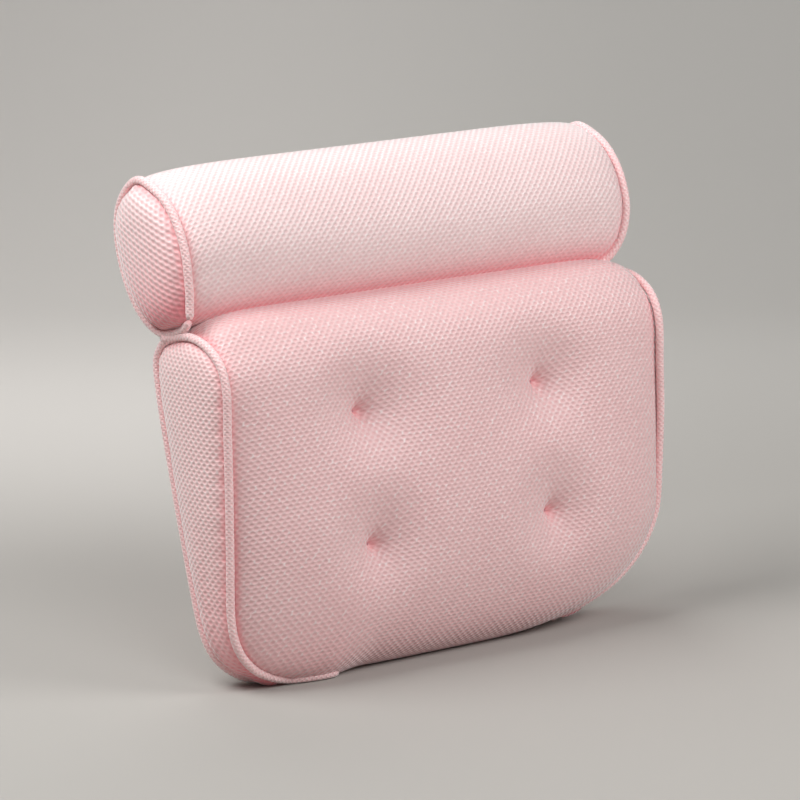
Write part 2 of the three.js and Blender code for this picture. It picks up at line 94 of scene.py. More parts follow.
# Neck roll, measured to its seams
roll_width = 0.354
roll_height = 0.103
roll_depth = 0.079
roll_end_depth = 0.069
roll_lift = 0.0016
roll_end_bulge = 0.012
roll_end_bulge_reach = 0.022
roll_foot_runs = {-1: 0.002, 1: 0.026}
roll_foot_rise = 0.04
roll_foot_power = 2.0

# Cloth and stuffing
cloth_thickness = 0.0022
cloth_grid = 0.0044
floor_gap = 0.0003
stuffing_gap = 0.0012
foot_hold = 0.0012
back_hold = 0.004
most_swell = 0.005
fill_frames = 20
calming_passes = 4
fill_settings = {
    "quality": 6, "mass": 0.2, "tension_stiffness": 14, "compression_stiffness": 14,
    "shear_stiffness": 8, "bending_stiffness": 2, "use_pressure": True,
    "uniform_pressure_force": 4.0, "vertex_group_mass": "held",
}

# How finely curves and side panels are worked out
dense_steps = 40
profile_steps = 600
profile_height_share = 1.1
slack_steps = 24
lattice_clear_share = 0.55
block_size = 2000
smallest_length = 1e-9
smallest_square = 1e-12
merge_distance = 1e-7

# Piping
piping_radius = 0.0027
piping_stands = (0.0021, 0.0021)
pad_front_stands = {"left": piping_stands, "right": (0.0006, 0.0032)}
stand_heights = (0.06, 0.13)
piping_step = 0.0022
piping_sides = 16
piping_cells = 5
piping_cell_share = 0.65
piping_end_shares = (0.6, 0.92)
piping_smoothing = 4
piping_lift_length = 0.009
piping_floor_gap = 0.0003
joining_points = 60

# The tail of the left front piping, which runs on under the corner
tail_length = 0.044
tail_stand = 0.0034
tail_start_column = 2
tail_forward_shares = (1.2, 0.4)

# How far a run of piping goes on past its last station, and how far it rises off the seam there
even_end = SimpleNamespace(run_on=0.002, lift=0, tail=0)
flush_end = SimpleNamespace(run_on=0.0005, lift=0, tail=0)
tail_end = SimpleNamespace(run_on=0.002, lift=-0.002, tail=tail_length)
upper_end = SimpleNamespace(run_on=0.003, lift=0.0026, tail=0)
tucked_end = SimpleNamespace(run_on=0.002, lift=-0.001, tail=0)

# Runs of piping, from one station to another and forwards or backwards round the section
pad_front_runs = {
    side: SimpleNamespace(stations=(foot, 2.4), step=-1, first_end=end, last_end=upper_end)
    for side, foot, end in (("left", 13.3, tail_end), ("right", 14, flush_end))
}
pad_back_run = SimpleNamespace(
    stations=(14.6, 3), step=1, first_end=flush_end, last_end=tucked_end)
roll_runs = {
    "left": SimpleNamespace(
        stations=(15, 14.3), step=1, first_end=tucked_end, last_end=upper_end),
    "right": SimpleNamespace(
        stations=(0.4, 15.6), step=1, first_end=tucked_end, last_end=even_end),
}

# Cups and what holds them
cup_count = 6
cups_on_pad = 4
cup_radius = 0.027
cup_reach = 0.020
cup_neck_radius = 0.004
cup_sides = 64
stud_back = -0.0056
stud_height = 0.0032
stud_rim_height = 0.0008
stud_head_radius = 0.0064
stud_rim_radius = 0.0065
stud_end_radius = 0.0046
patch_radius = 0.015
patch_thickness = 0.0012
patch_inset = 0.0021
patch_hole_gap = 0.0004
patch_stand = 0.0003
patch_back = patch_stand + patch_thickness
stitches_per_patch = 28
stitch_radius = 0.00035
stitch_length = 0.0022
stitch_skew = 0.5

# Ties of the tufts
tie_stand = 0.0008
tie_stitch_radius = 0.0011
tie_thread_radius = 0.0008
tie_knot_radius = 0.0025
tie_knot_start = 0.0004
tie_knot_end = 0.0024
tie_round_share = 0.7
tie_rise_share = 0.4
tie_sides = 24

# Weave of the air mesh
cell_width = 0.0048
cell_height = 0.0051
weave_drift = 0.0005
weave_bump_strength = 0.6
fibre_limits = (0.3, 0.7)
speck_limits = (0.5, 0.72)
glint_shares = (0.05, 0.8)
tone_shares = (0, 0.08)
cell_limits = (-0.5, 1.0)
raised_limits = (0.1, -0.7)
raised_height = 0.6
fibre_height = 0.3
least_depth_share = 0.8
thread_roughness = 0.45
cell_roughness = 0.8
blush_share = 0.8
mesh_numbers = {"Sheen Weight": 1.0, "Sheen Roughness": 0.4, "Specular IOR Level": 0.7}
pad_grain_degrees = 16
roll_grain_degrees = 37
roll_row_stretch = 1.34

# Painted shade: deeper pink of the cloth where shade falls; how strong it is, and over what length
# it fades
seam_blush = (0.8, 0.0028)
tuft_blush = (0.7, 0.004)
foot_blush = (0.4, 0.016)
side_blush = (0.8, 0.045)
pad_crease_blush = (0.75, 0.004)
roll_crease_blush = (0.75, 0.008)
crease_rise = 0.005

# Backdrop and light
floor_size = 6
floor_colour = (172, 169, 164)
# Painted light on the paper: lighter in a band and towards the far wall.
painted_light_band_colour = (227, 223, 218)
painted_far_light_colour = (212, 209, 204)
band_reach = (0.1, 0.85)
far_reach = (0.3, 1.1)
side_reach = 0.26
glow_reach = (0.7, 3.0)
backdrop_glow = 0.15
glow_colour = (1, 0.985, 0.95, 1)
paper_roughness = 0.9
wall_start = 1.1
wall_bend = 0.9
wall_height = 3.2
wall_steps = 24
world_colour = (1.0, 0.99, 0.985, 1)
world_light = 0.04
world_glow = 0.34
lamp_target = (0, 0.04, 0.16)
lamps = {
    "above_left": SimpleNamespace(place=(-0.68, 0.25, 1.17), size=0.8, power=13.6),
    "above_right": SimpleNamespace(place=(0.3, 0.9, 1.2), size=0.8, power=5),
    "front": SimpleNamespace(place=(-0.5, -1.02, 1.1), size=0.8, power=6),
    "front_right": SimpleNamespace(place=(0.8, -1.0, 1.0), size=0.9, power=12.4),
}

# Each row is one station round a section: depth and height at the end seam, then depth and height
# in the middle. The pad's stations start at the top of its back and go over the top and down the
# front. The roll's start at its foot and go up the back, over the top and down the front.
pad_station_shares = [
    [0.15, 0.86, 0, 0.93],
    [0.2, 0.945, 0.007, 0.988],
    [0.31, 0.972, 0.055, 1],
    [0.48, 0.977, 0.36, 1.016],
    [0.7, 0.964, 0.63, 1.03],
    [0.865, 0.929, 0.855, 0.998],
    [0.975, 0.877, 0.965, 0.93],
    [0.994, 0.816, 1, 0.846],
    [0.905, 0.7, 0.956, 0.7],
    [0.76, 0.518, 0.905, 0.518],
    [0.6, 0.333, 0.838, 0.333],
    [0.475, 0.193, 0.711, 0.175],
    [0.39, 0.085, 0.511, 0.053],
    [0.33, 0.043, 0.367, 0.013],
    [0.257, 0.033, 0.233, 0],
    [0.18, 0.043, 0.133, 0.011],
    [0.125, 0.085, 0.045, 0.035],
    [0.098, 0.175, 0, 0.105],
    [0.092, 0.333, 0, 0.333],
    [0.11, 0.614, 0, 0.636],
]
roll_station_shares = [
    [0.54, -0.005, 0.468, -0.008],
    [0.35, 0.02, 0.076, 0.004],
    [0.19, 0.13, 0.008, 0.028],
    [0.072, 0.306, 0, 0.24],
    [0.022, 0.49, 0, 0.49],
    [0.041, 0.655, 0.013, 0.694],
    [0.123, 0.782, 0.095, 0.855],
    [0.283, 0.874, 0.253, 0.957],
    [0.5, 0.916, 0.468, 0.986],
    [0.696, 0.84, 0.696, 0.925],
    [0.862, 0.733, 0.873, 0.792],
    [0.971, 0.578, 0.975, 0.617],
    [1, 0.413, 1, 0.423],
    [0.964, 0.257, 0.949, 0.258],
    [0.895, 0.11, 0.86, 0.105],
    [0.78, 0.01, 0.72, 0.006],
]
pad_front_stations = (1, 15.5)
tuft_stations = (8, 10)
gusset_tip_station = 14

# Stations in the middle of each panel, from which its weave is laid out
pad_middle_stations = {"front": 9, "back": 19}
roll_middle_stations = {"cover": 10}

# How a form's fill falls off towards its ends: a power and a root, with other ones at some stations
pad_swell = (4, 0.6)
roll_swell = (6, 0.5)
bulge_swell = (3, 0.5)
corner_swell = (16, 0.5)
crease_swell = (12, 0.6)
pad_swells = {
    **dict.fromkeys([0, 1, 2, 17, 18, 19], corner_swell),
    **dict.fromkeys([3, 4, 5], crease_swell),
}
roll_swells = {
    **dict.fromkeys([1, 2, 3], corner_swell),
    **dict.fromkeys([0, 14, 15], crease_swell),
}

# The line from which a side panel swells, in depth and height
pad_spine_shares = [[0.257, 0.07], [0.55, 0.81]]
roll_spine_shares = [[0.51, 0.32], [0.51, 0.64]]

# A cup from the bottom of its dish over the lip to its neck: shares of its radius and reach
cup_profile_shares = [
    (0, 0.525), (0.2, 0.535), (0.41, 0.61), (0.6, 0.7), (0.75, 0.81), (0.88, 0.95), (0.905, 1),
    (0.98, 1), (1, 0.975), (0.985, 0.94), (0.93, 0.86), (0.8, 0.73), (0.62, 0.56), (0.47, 0.42),
    (0.33, 0.335), (0.26, 0.3), (0.16, 0.26), (0.148, 0.2),
]
# The edge of a patch: inset and rise, in shares of its thickness
patch_edge_shares = [(0.25, 0), (0, 1 / 3), (1 / 6, 0.75), (2 / 3, 1)]
# A stitch: how far along it is, how thick, and how high it stands
stitch_bar_shares = [(-1, 0.35, 0.2), (-0.7, 1, 0.2), (0, 1, 0.6), (0.7, 1, 0.2), (1, 0.35, 0.2)]

lean = Matrix.Rotation(-math.radians(lean_degrees), 4, "X")
own_to_part = Matrix.Translation(stand) @ lean


# Camera
def make_camera():
    azimuth = math.radians(camera_azimuth_degrees)
    elevation = math.radians(camera_elevation_degrees)
    level = Vector((math.sin(azimuth), math.cos(azimuth), 0))
    right = Vector((level.y, -level.x, 0))
    ahead = level * math.cos(elevation) - Vector((0, 0, math.sin(elevation)))
    up = right.cross(ahead)
    place = stand + right * camera_to_right + up * camera_up - ahead * camera_distance
    data = bpy.data.cameras.new("camera")
    data.sensor_width = camera_sensor_mm
    data.lens = camera_lens_mm
    camera = bpy.data.objects.new("camera", data)
    turn = Matrix((right, up, -ahead)).transposed().to_4x4()
    camera.matrix_world = Matrix.Translation(place) @ turn
    bpy.context.collection.objects.link(camera)
    bpy.context.scene.camera = camera


make_camera()


# Node helpers
class Nodes:
    """Adds nodes to a node tree and links what they are given."""

    def __init__(self, tree):
        self.tree = tree

    def add(self, kind, inputs=(), **settings):
        node = self.tree.nodes.new(kind)
        for name, value in settings.items():
            setattr(node, name, value)
        for name, value in dict(inputs).items():
            self.set(node.inputs[name], value)
        return node

    def set(self, socket, value):
        if isinstance(value, bpy.types.NodeSocket):
            self.tree.links.new(value, socket)
        else:
            socket.default_value = value

    def math(self, operation, first, second=0.0):
        node = self.add("ShaderNodeMath", operation=operation)
        self.set(node.inputs[0], first)
        self.set(node.inputs[1], second)
        return node.outputs[0]

    def smooth(self, value, low, high, start=0.0, end=1.0):
        limits = {"Value": value, "From Min": low, "From Max": high, "To Min": start, "To Max": end}
        node = self.add("ShaderNodeMapRange", limits, interpolation_type="SMOOTHSTEP")
        return node.outputs[0]

    def mix(self, share, first, second):
        node = self.add("ShaderNodeMix", data_type="RGBA")
        self.set(node.inputs[0], share)
        self.set(node.inputs[6], first)
        self.set(node.inputs[7], second)
        return node.outputs[2]

    def noise(self, vector, scale, detail, distortion=0.0):
        inputs = {"Vector": vector, "Scale": scale, "Detail": detail, "Distortion": distortion}
        return self.add("ShaderNodeTexNoise", inputs).outputs

    def waves(self, vector, scale, distortion, bands):
        inputs = {"Vector": vector, "Scale": scale, "Distortion": distortion}
        return self.add("ShaderNodeTexWave", inputs, bands_direction=bands).outputs[1]

    def vectors(self, operation, *values):
        node = self.add("ShaderNodeVectorMath", enumerate(values), operation=operation)
        return node.outputs[0]


def linear(red, green, blue):
    """A colour given as screen values from 0 to 255."""
    values = [value / 255 for value in (red, green, blue)]
    plain = [v / 12.92 if v < 0.04 else ((v + 0.055) / 1.055) ** 2.4 for v in values]
    return (*plain, 1)


def new_material(name):
    material = bpy.data.materials.new(name)
    material.use_nodes = True
    tree = material.node_tree
    return material, Nodes(tree), tree.nodes["Principled BSDF"]


def dress(nodes, shader, colour, height, relief, numbers, strength=1.0):
    """Gives a shader its colour, its relief and its other values."""
    inputs = {"Height": height, "Distance": relief, "Strength": strength}
    bump = nodes.add("ShaderNodeBump", inputs)
    nodes.set(shader.inputs["Base Color"], colour)
    nodes.set(shader.inputs["Normal"], bump.outputs[0])
    for socket, value in numbers.items():
        nodes.set(shader.inputs[socket], value)


# Air mesh: staggered oval cells between raised threads
# A near white for the painted glints on the raised threads.
painted_glint_colour = linear(255, 244, 243)
# A deeper pink for the painted shade in seams, tufts, the crease and low down.
blush_colour = linear(243, 122, 134)


def weave_lattice(nodes, uv, look):
    """High in the cells and low on the threads between them."""
    drift = nodes.noise(uv, scale=70.0, detail=2.0)[1]
    offset = nodes.vectors("SUBTRACT", drift, (0.5, 0.5, 0.5))
    moved = nodes.vectors("MULTIPLY_ADD", offset, (weave_drift,) * 3, uv)
    place = nodes.add("ShaderNodeSeparateXYZ", {0: moved})
    turns = [nodes.math("MULTIPLY", place.outputs[axis], math.tau / pitch)
             for axis, pitch in ((0, cell_width), (1, cell_height))]
    cosines = nodes.math("MULTIPLY", *(nodes.math("COSINE", turn) for turn in turns))
    sines = nodes.math("MULTIPLY", *(nodes.math("SINE", turn) for turn in turns))
    lattice = nodes.math("SUBTRACT", cosines, nodes.math("MULTIPLY", sines, look.diagonal))
    rows = nodes.math("COSINE", nodes.math("MULTIPLY", turns[1], 2.0))
    return nodes.math("ADD", lattice, nodes.math("MULTIPLY", rows, look.rows))


def air_mesh(name, look):
    """Staggered cells; diagonal and rows say how much one diagonal and the rows stand out."""
    material, nodes, shader = new_material(name)
    uv = nodes.add("ShaderNodeUVMap", uv_map="cloth").outputs[0]
    lattice = weave_lattice(nodes, uv, look)
    cell = nodes.smooth(lattice, cell_limits[0], cell_limits[1] + look.rows)
    raised = nodes.smooth(lattice, raised_limits[0], raised_limits[1] - look.rows / 2)
    fibre = nodes.noise(uv, scale=900.0, detail=3.0)[0]
    speck = nodes.noise(uv, scale=300.0, detail=1.0)[0]
    patchy = nodes.noise(uv, scale=25.0, detail=3.0)[0]
    blush = nodes.add("ShaderNodeAttribute", attribute_name="blush").outputs[2]
    # Painted glints: near-white specks on the raised threads.
    glint = nodes.math("MULTIPLY", raised, nodes.smooth(speck, *speck_limits, *glint_shares))
    tone = nodes.smooth(patchy, *fibre_limits, *tone_shares)
    bright = nodes.mix(glint, nodes.mix(tone, look.thread, look.cell), painted_glint_colour)
    depth = nodes.smooth(fibre, *fibre_limits, look.openness * least_depth_share, look.openness)
    cloth = nodes.mix(nodes.math("MULTIPLY", cell, depth), bright, look.cell)
    # Painted shade: deeper pink mixed in by the point attribute, where shade falls.
    colour = nodes.mix(nodes.math("MULTIPLY", blush, blush_share), cloth, blush_colour)
    height = nodes.math("SUBTRACT", nodes.math("MULTIPLY", raised, raised_height), cell)
    height = nodes.math("ADD", height, nodes.math("MULTIPLY", fibre, fibre_height))
    roughness = nodes.smooth(cell, 0.0, 1.0, thread_roughness, cell_roughness)
    numbers = {"Roughness": roughness, **mesh_numbers}
    dress(nodes, shader, colour, height, look.relief, numbers, weave_bump_strength)
    return material


# One cloth in all the panels: the copies differ in how open the weave is, and in colour by painted
# light and shade, the end caps lighter and the pad's front a deeper pink.
pale_thread = linear(246, 219, 218)
pale_cell = linear(224, 160, 162)
front_mesh = air_mesh("front_mesh", SimpleNamespace(
    openness=0.33, relief=0.0005, diagonal=0.12, rows=0.4, thread=linear(241, 200, 200),
    cell=linear(220, 146, 148)))
roll_mesh = air_mesh("roll_mesh", SimpleNamespace(
    openness=0.36, relief=0.0005, diagonal=0.35, rows=0.35, thread=pale_thread,
    cell=pale_cell))
gusset_mesh = air_mesh("gusset_mesh", SimpleNamespace(
    openness=0.5, relief=0.0005, diagonal=0, rows=0.35, thread=linear(254, 219, 218),
    cell=linear(218, 146, 148)))
end_mesh = air_mesh("end_mesh", SimpleNamespace(
    openness=0.6, relief=0.0006, diagonal=0.2, rows=0.8, thread=linear(255, 230, 229),
    cell=linear(232, 176, 175)))
piping_cloth = air_mesh("piping_mesh", SimpleNamespace(
    openness=0.35, relief=0.0004, diagonal=0.1, rows=0.3, thread=linear(255, 214, 214),
    cell=linear(234, 156, 158)))


# Looks whose colour and relief follow one pattern
def strands(nodes, where):
    fine = nodes.noise(where, scale=420.0, detail=6.0, distortion=1.5)[0]
    coarse = nodes.noise(where, scale=60.0, detail=3.0)[0]
    return fine, nodes.math("ADD", fine, coarse), {}


def twist(nodes, where):
    bands = nodes.waves(where, scale=900.0, distortion=1.0, bands="DIAGONAL")
    return bands, bands, {}


def tape_weave(nodes, where):
    ribs, picks = (nodes.waves(where, scale=260.0, distortion=0.3, bands=bands)
                   for bands in ("X", "Z"))
    weave = nodes.math("MULTIPLY", ribs, picks)
    return weave, weave, {}


def clouds(nodes, where):
    cloud = nodes.noise(where, scale=70.0, detail=4.0)[0]
    return cloud, cloud, {"Roughness": nodes.smooth(cloud, 0.3, 0.8, 0.12, 0.26)}


def grain(nodes, where):
    grains = nodes.noise(where, scale=900.0, detail=3.0)[0]
    return grains, grains, {}


def plain_look(name, pattern, deep, pale, relief, **numbers):
    """A look from a pattern; the numbers are the shader's, with spaces written as underscores."""
    material, nodes, shader = new_material(name)
    where = nodes.add("ShaderNodeTexCoord").outputs["Object"]
    share, height, patterned = pattern(nodes, where)
    dress(nodes, shader, nodes.mix(share, deep, pale), height, relief, patterned)
    for socket, value in numbers.items():
        shader.inputs[socket.replace("_", " ")].default_value = value
    return material


fibre = plain_look("fibre", strands, linear(228, 220, 216), linear(250, 248, 244),
                   relief=0.002, Roughness=0.95)
thread = plain_look("thread", twist, linear(198, 120, 130), linear(232, 172, 178),
                    relief=0.0003, Roughness=0.55, Sheen_Weight=0.3)
tape = plain_look("patch_cloth", tape_weave, linear(206, 150, 156), linear(236, 196, 198),
                  relief=0.0004, Roughness=0.85)
vinyl = plain_look("clear_vinyl", clouds, linear(226, 234, 236), linear(246, 249, 250),
                   relief=0.0002, Transmission_Weight=0.75, IOR=1.45)
plastic = plain_look("white_plastic", grain, linear(228, 228, 224), linear(244, 244, 240),
                     relief=0.0001, Roughness=0.45)


# Helpers for lines and meshes
def lengths_along(line):
    """How long a line of points is up to each of them."""
    return np.concatenate([[0], np.cumsum(np.linalg.norm(np.diff(line, axis=0), axis=1))])


def between(targets, marks, values):
    """Rows of values given at marks, read off at targets."""
    return np.stack([np.interp(targets, marks, column) for column in values.T], axis=1)


def new_mesh(name, points, faces):
    mesh = bpy.data.meshes.new(name)
    mesh.from_pydata(np.array(points).tolist(), [], faces)
    return mesh


def lay_flat(mesh, name, places):
    """Gives each corner of each face its flat place."""
    layer = mesh.uv_layers.new(name=name)
    layer.data.foreach_set("uv", np.array(places, np.float32).ravel())


def tube_faces(rings, sides, first=0):
    """Faces between rings of points that follow each other."""
    faces = []
    for ring in range(rings - 1):
        low = first + ring * sides
        high = low + sides
        for side in range(sides):
            after = (side + 1) % sides
            faces.append([low + side, low + after, high + after, high + side])
    return faces


def turned(outline, sides):
    """A ring of points round Y for each radius and place of an outline."""
    angles = np.arange(sides) * math.tau / sides
    return [(radius * math.cos(angle), back, radius * math.sin(angle))
            for radius, back in outline for angle in angles]


def link(name, mesh, material):
    mesh.materials.append(material)
    piece = bpy.data.objects.new(name, mesh)
    bpy.context.collection.objects.link(piece)
    for polygon in mesh.polygons:
        polygon.use_smooth = True
    return piece


# Sections of the stuffed forms
def swell(shares, shape):
    power, root = shape
    return np.power(1 - np.power(np.minimum(np.abs(shares), 1), power), root)


class RoundedCorner:
    """The half width of a form over its height, where its bottom corner is rounded off."""

    def __init__(self, width, foot, run, rise, power):
        self.half, self.foot, self.run, self.rise, self.power = width / 2, foot, run, rise, power

    def drop(self, height):
        return np.clip(1 - (height - self.foot) / self.rise, 0, 1)

    def reach(self, height):
        return np.power(1 - np.power(self.drop(height), self.power), 1 / self.power)

    def half_width(self, height):
        return self.half - self.run * (1 - self.reach(height))

    def outward(self, height, side):
        sideways = np.power(self.reach(height), self.power - 1) / self.run
        downwards = np.power(self.drop(height), self.power - 1) / self.rise
        direction = np.stack([side * sideways, np.zeros_like(sideways), -downwards], axis=-1)
        return direction / np.linalg.norm(direction, axis=-1, keepdims=True)


pad_corners = {
    side: RoundedCorner(pad_width, corner_foot, corner_run, corner_rises[side],
                        corner_powers[side]) for side in (-1, 1)
}
roll_corners = {
    side: RoundedCorner(roll_width, pad_height + roll_lift, roll_foot_runs[side], roll_foot_rise,
                        roll_foot_power) for side in (-1, 1)
}
pad = SimpleNamespace(
    shares=np.array(pad_station_shares), end_depth=gusset_depth, middle_depth=pad_depth,
    height=pad_height, foot=0, width=pad_width, swell=pad_swell, swells=pad_swells,
    corners=pad_corners, spine_shares=np.array(pad_spine_shares), bulge=gusset_bulge,
    bulge_reach=gusset_bulge_reach, grain_turn_degrees=pad_grain_degrees, row_stretch=1,
)
roll = SimpleNamespace(
    shares=np.array(roll_station_shares), end_depth=roll_end_depth, middle_depth=roll_depth,
    height=roll_height, foot=pad_height + roll_lift, width=roll_width, swell=roll_swell,
    swells=roll_swells, corners=roll_corners, spine_shares=np.array(roll_spine_shares),
    bulge=roll_end_bulge, bulge_reach=roll_end_bulge_reach, grain_turn_degrees=roll_grain_degrees,
    row_stretch=roll_row_stretch,
)


def closed_curves(control, stations):
    """Points on smooth closed curves through the control points, one curve for each column."""
    first = np.floor(stations).astype(int)
    share = (stations - first)[:, None, None]
    a, b, c, d = (control[(first + step) % len(control)] for step in (-1, 0, 1, 2))
    before, here, after = (
        np.sqrt(np.linalg.norm(end - start, axis=2, keepdims=True)) for start, end in
        ((a, b), (b, c), (c, d))
    )
    leaving = ((b - a) / before - (c - a) / (before + here) + (c - b) / here) * here
    arriving = ((c - b) / here - (d - b) / (here + after) + (d - c) / after) * here
    square = 3 * (c - b) - 2 * leaving - arriving
    cube = 2 * (b - c) + leaving + arriving
    return b + share * (leaving + share * (square + share * cube))


def section(form, width_shares, stations):
    """Depth and height at each station, for each share of the half width."""
    fill = np.stack([swell(width_shares, form.swells.get(station, form.swell))
                     for station in range(len(form.shares))])
    end_depth, end_height, depth, height = (column[:, None] for column in form.shares.T)
    depths = end_depth * form.end_depth * (1 - fill) + depth * form.middle_depth * fill
    rises = (end_height * (1 - fill) + height * fill) * form.height
    return closed_curves(np.stack([depths, form.foot + rises], axis=2), stations)


def even_stations(form, kept):
    """Stations at even steps round the middle section, with the kept ones among them."""
    count = len(form.shares)
    dense = np.linspace(0, count, count * dense_steps + 1)
    lengths = lengths_along(section(form, np.zeros(1), dense)[:, 0])
    steps = round(lengths[-1] / cloth_grid)
    stations = np.interp(np.arange(steps) * lengths[-1] / steps, lengths, dense)
    for station in kept:
        stations[np.abs(stations - station).argmin()] = station
    return stations


def even_shares(form, kept):
    """Shares of the half width at even steps, with the kept ones among them."""
    half = round(form.width / 2 / cloth_grid)
    shares = np.linspace(-1, 1, 2 * half + 1)
    for share in kept:
        shares[np.abs(shares - share).argmin()] = share
    return shares


tuft_share = tuft_spacing / pad_width
tuft_middles = [
    np.array([side * tuft_spacing / 2, -depth, height])
    for depth, height in section(pad, np.array([tuft_share]), np.array(tuft_stations))[:, 0]
    for side in (-1, 1)
]


def from_tuft(points, tuft):
    """How far points of the pad's front are from a tuft, and endlessly far for other points."""
    away = np.hypot(points[..., 0] - tuft[0], points[..., 2] - tuft[2])
    return np.where(-points[..., 1] > gusset_depth / 2, away, np.inf)


def tuft_pull(points):
    """How far the tufts draw each point of the pad's front back."""
    return sum(tuft_depth * np.square(np.clip(1 - from_tuft(points, tuft) / tuft_reach, 0, 1))
               for tuft in tuft_middles)


# Skins: the cloth of a cushion as panels that share their seams
def smooth_step(values, start, end):
    share = np.clip((values - start) / (end - start), 0, 1)
    return share * share * (3 - 2 * share)


def corner_drop(points):
    """The bottom left corner hangs lower than the right one."""
    outside = smooth_step(-points[:, 0], sag_from, sag_until)
    return corner_sag * outside * smooth_step(-points[:, 2], -sag_top, 0)


class Outline:
    """The flat outline of a side panel, as points in order."""

    def __init__(self, points):
        self.points = points
        self.ends = np.roll(points, -1, axis=0)

    def distance(self, places):
        """The distance from each place to the nearest part of the outline."""
        nearest = np.full(len(places), np.inf)
        for start, end in zip(self.points, self.ends):
            nearest = np.minimum(nearest, segment_distance(places, start, end))
        return nearest

    def holds(self, places):
        """Whether each place is inside."""
        inside = np.zeros(len(places), bool)
        for start, end in zip(self.points, self.ends):
            crosses = (start[1] > places[:, 1]) != (end[1] > places[:, 1])
            rise = end[1] - start[1] if end[1] != start[1] else 1
            at = start[0] + (places[:, 1] - start[1]) * (end[0] - start[0]) / rise
            inside ^= crosses & (places[:, 0] < at)
        return inside

    def lattice(self, step):
        """Evenly staggered places inside, clear of the edge."""
        low, high = self.points.min(axis=0), self.points.max(axis=0)
        rise = step * math.sqrt(3) / 2
        rows = np.arange(low[1], high[1], rise)
        columns = np.arange(low[0] - step, high[0], step)
        across, up = np.meshgrid(columns, rows)
        across = across + (np.arange(len(rows)) % 2)[:, None] * step / 2
        places = np.stack([across.ravel(), up.ravel()], axis=1)
        return places[self.holds(places) & (self.distance(places) > step * lattice_clear_share)]


def nearest_on_segment(places, start, end):
    along = end - start
    share = np.clip((places - start) @ along / max(along @ along, smallest_square), 0, 1)
    return start + share[:, None] * along


def segment_distance(places, start, end):
    return np.linalg.norm(places - nearest_on_segment(places, start, end), axis=1)


def grain_place(place, form):
    """A side panel's place on the cloth, whose rows are turned, and stretched across."""
    turn = math.radians(form.grain_turn_degrees)
    depth, height = place
    return (depth * math.cos(turn) - height * math.sin(turn),
            (height * math.cos(turn) + depth * math.sin(turn)) / form.row_stretch)


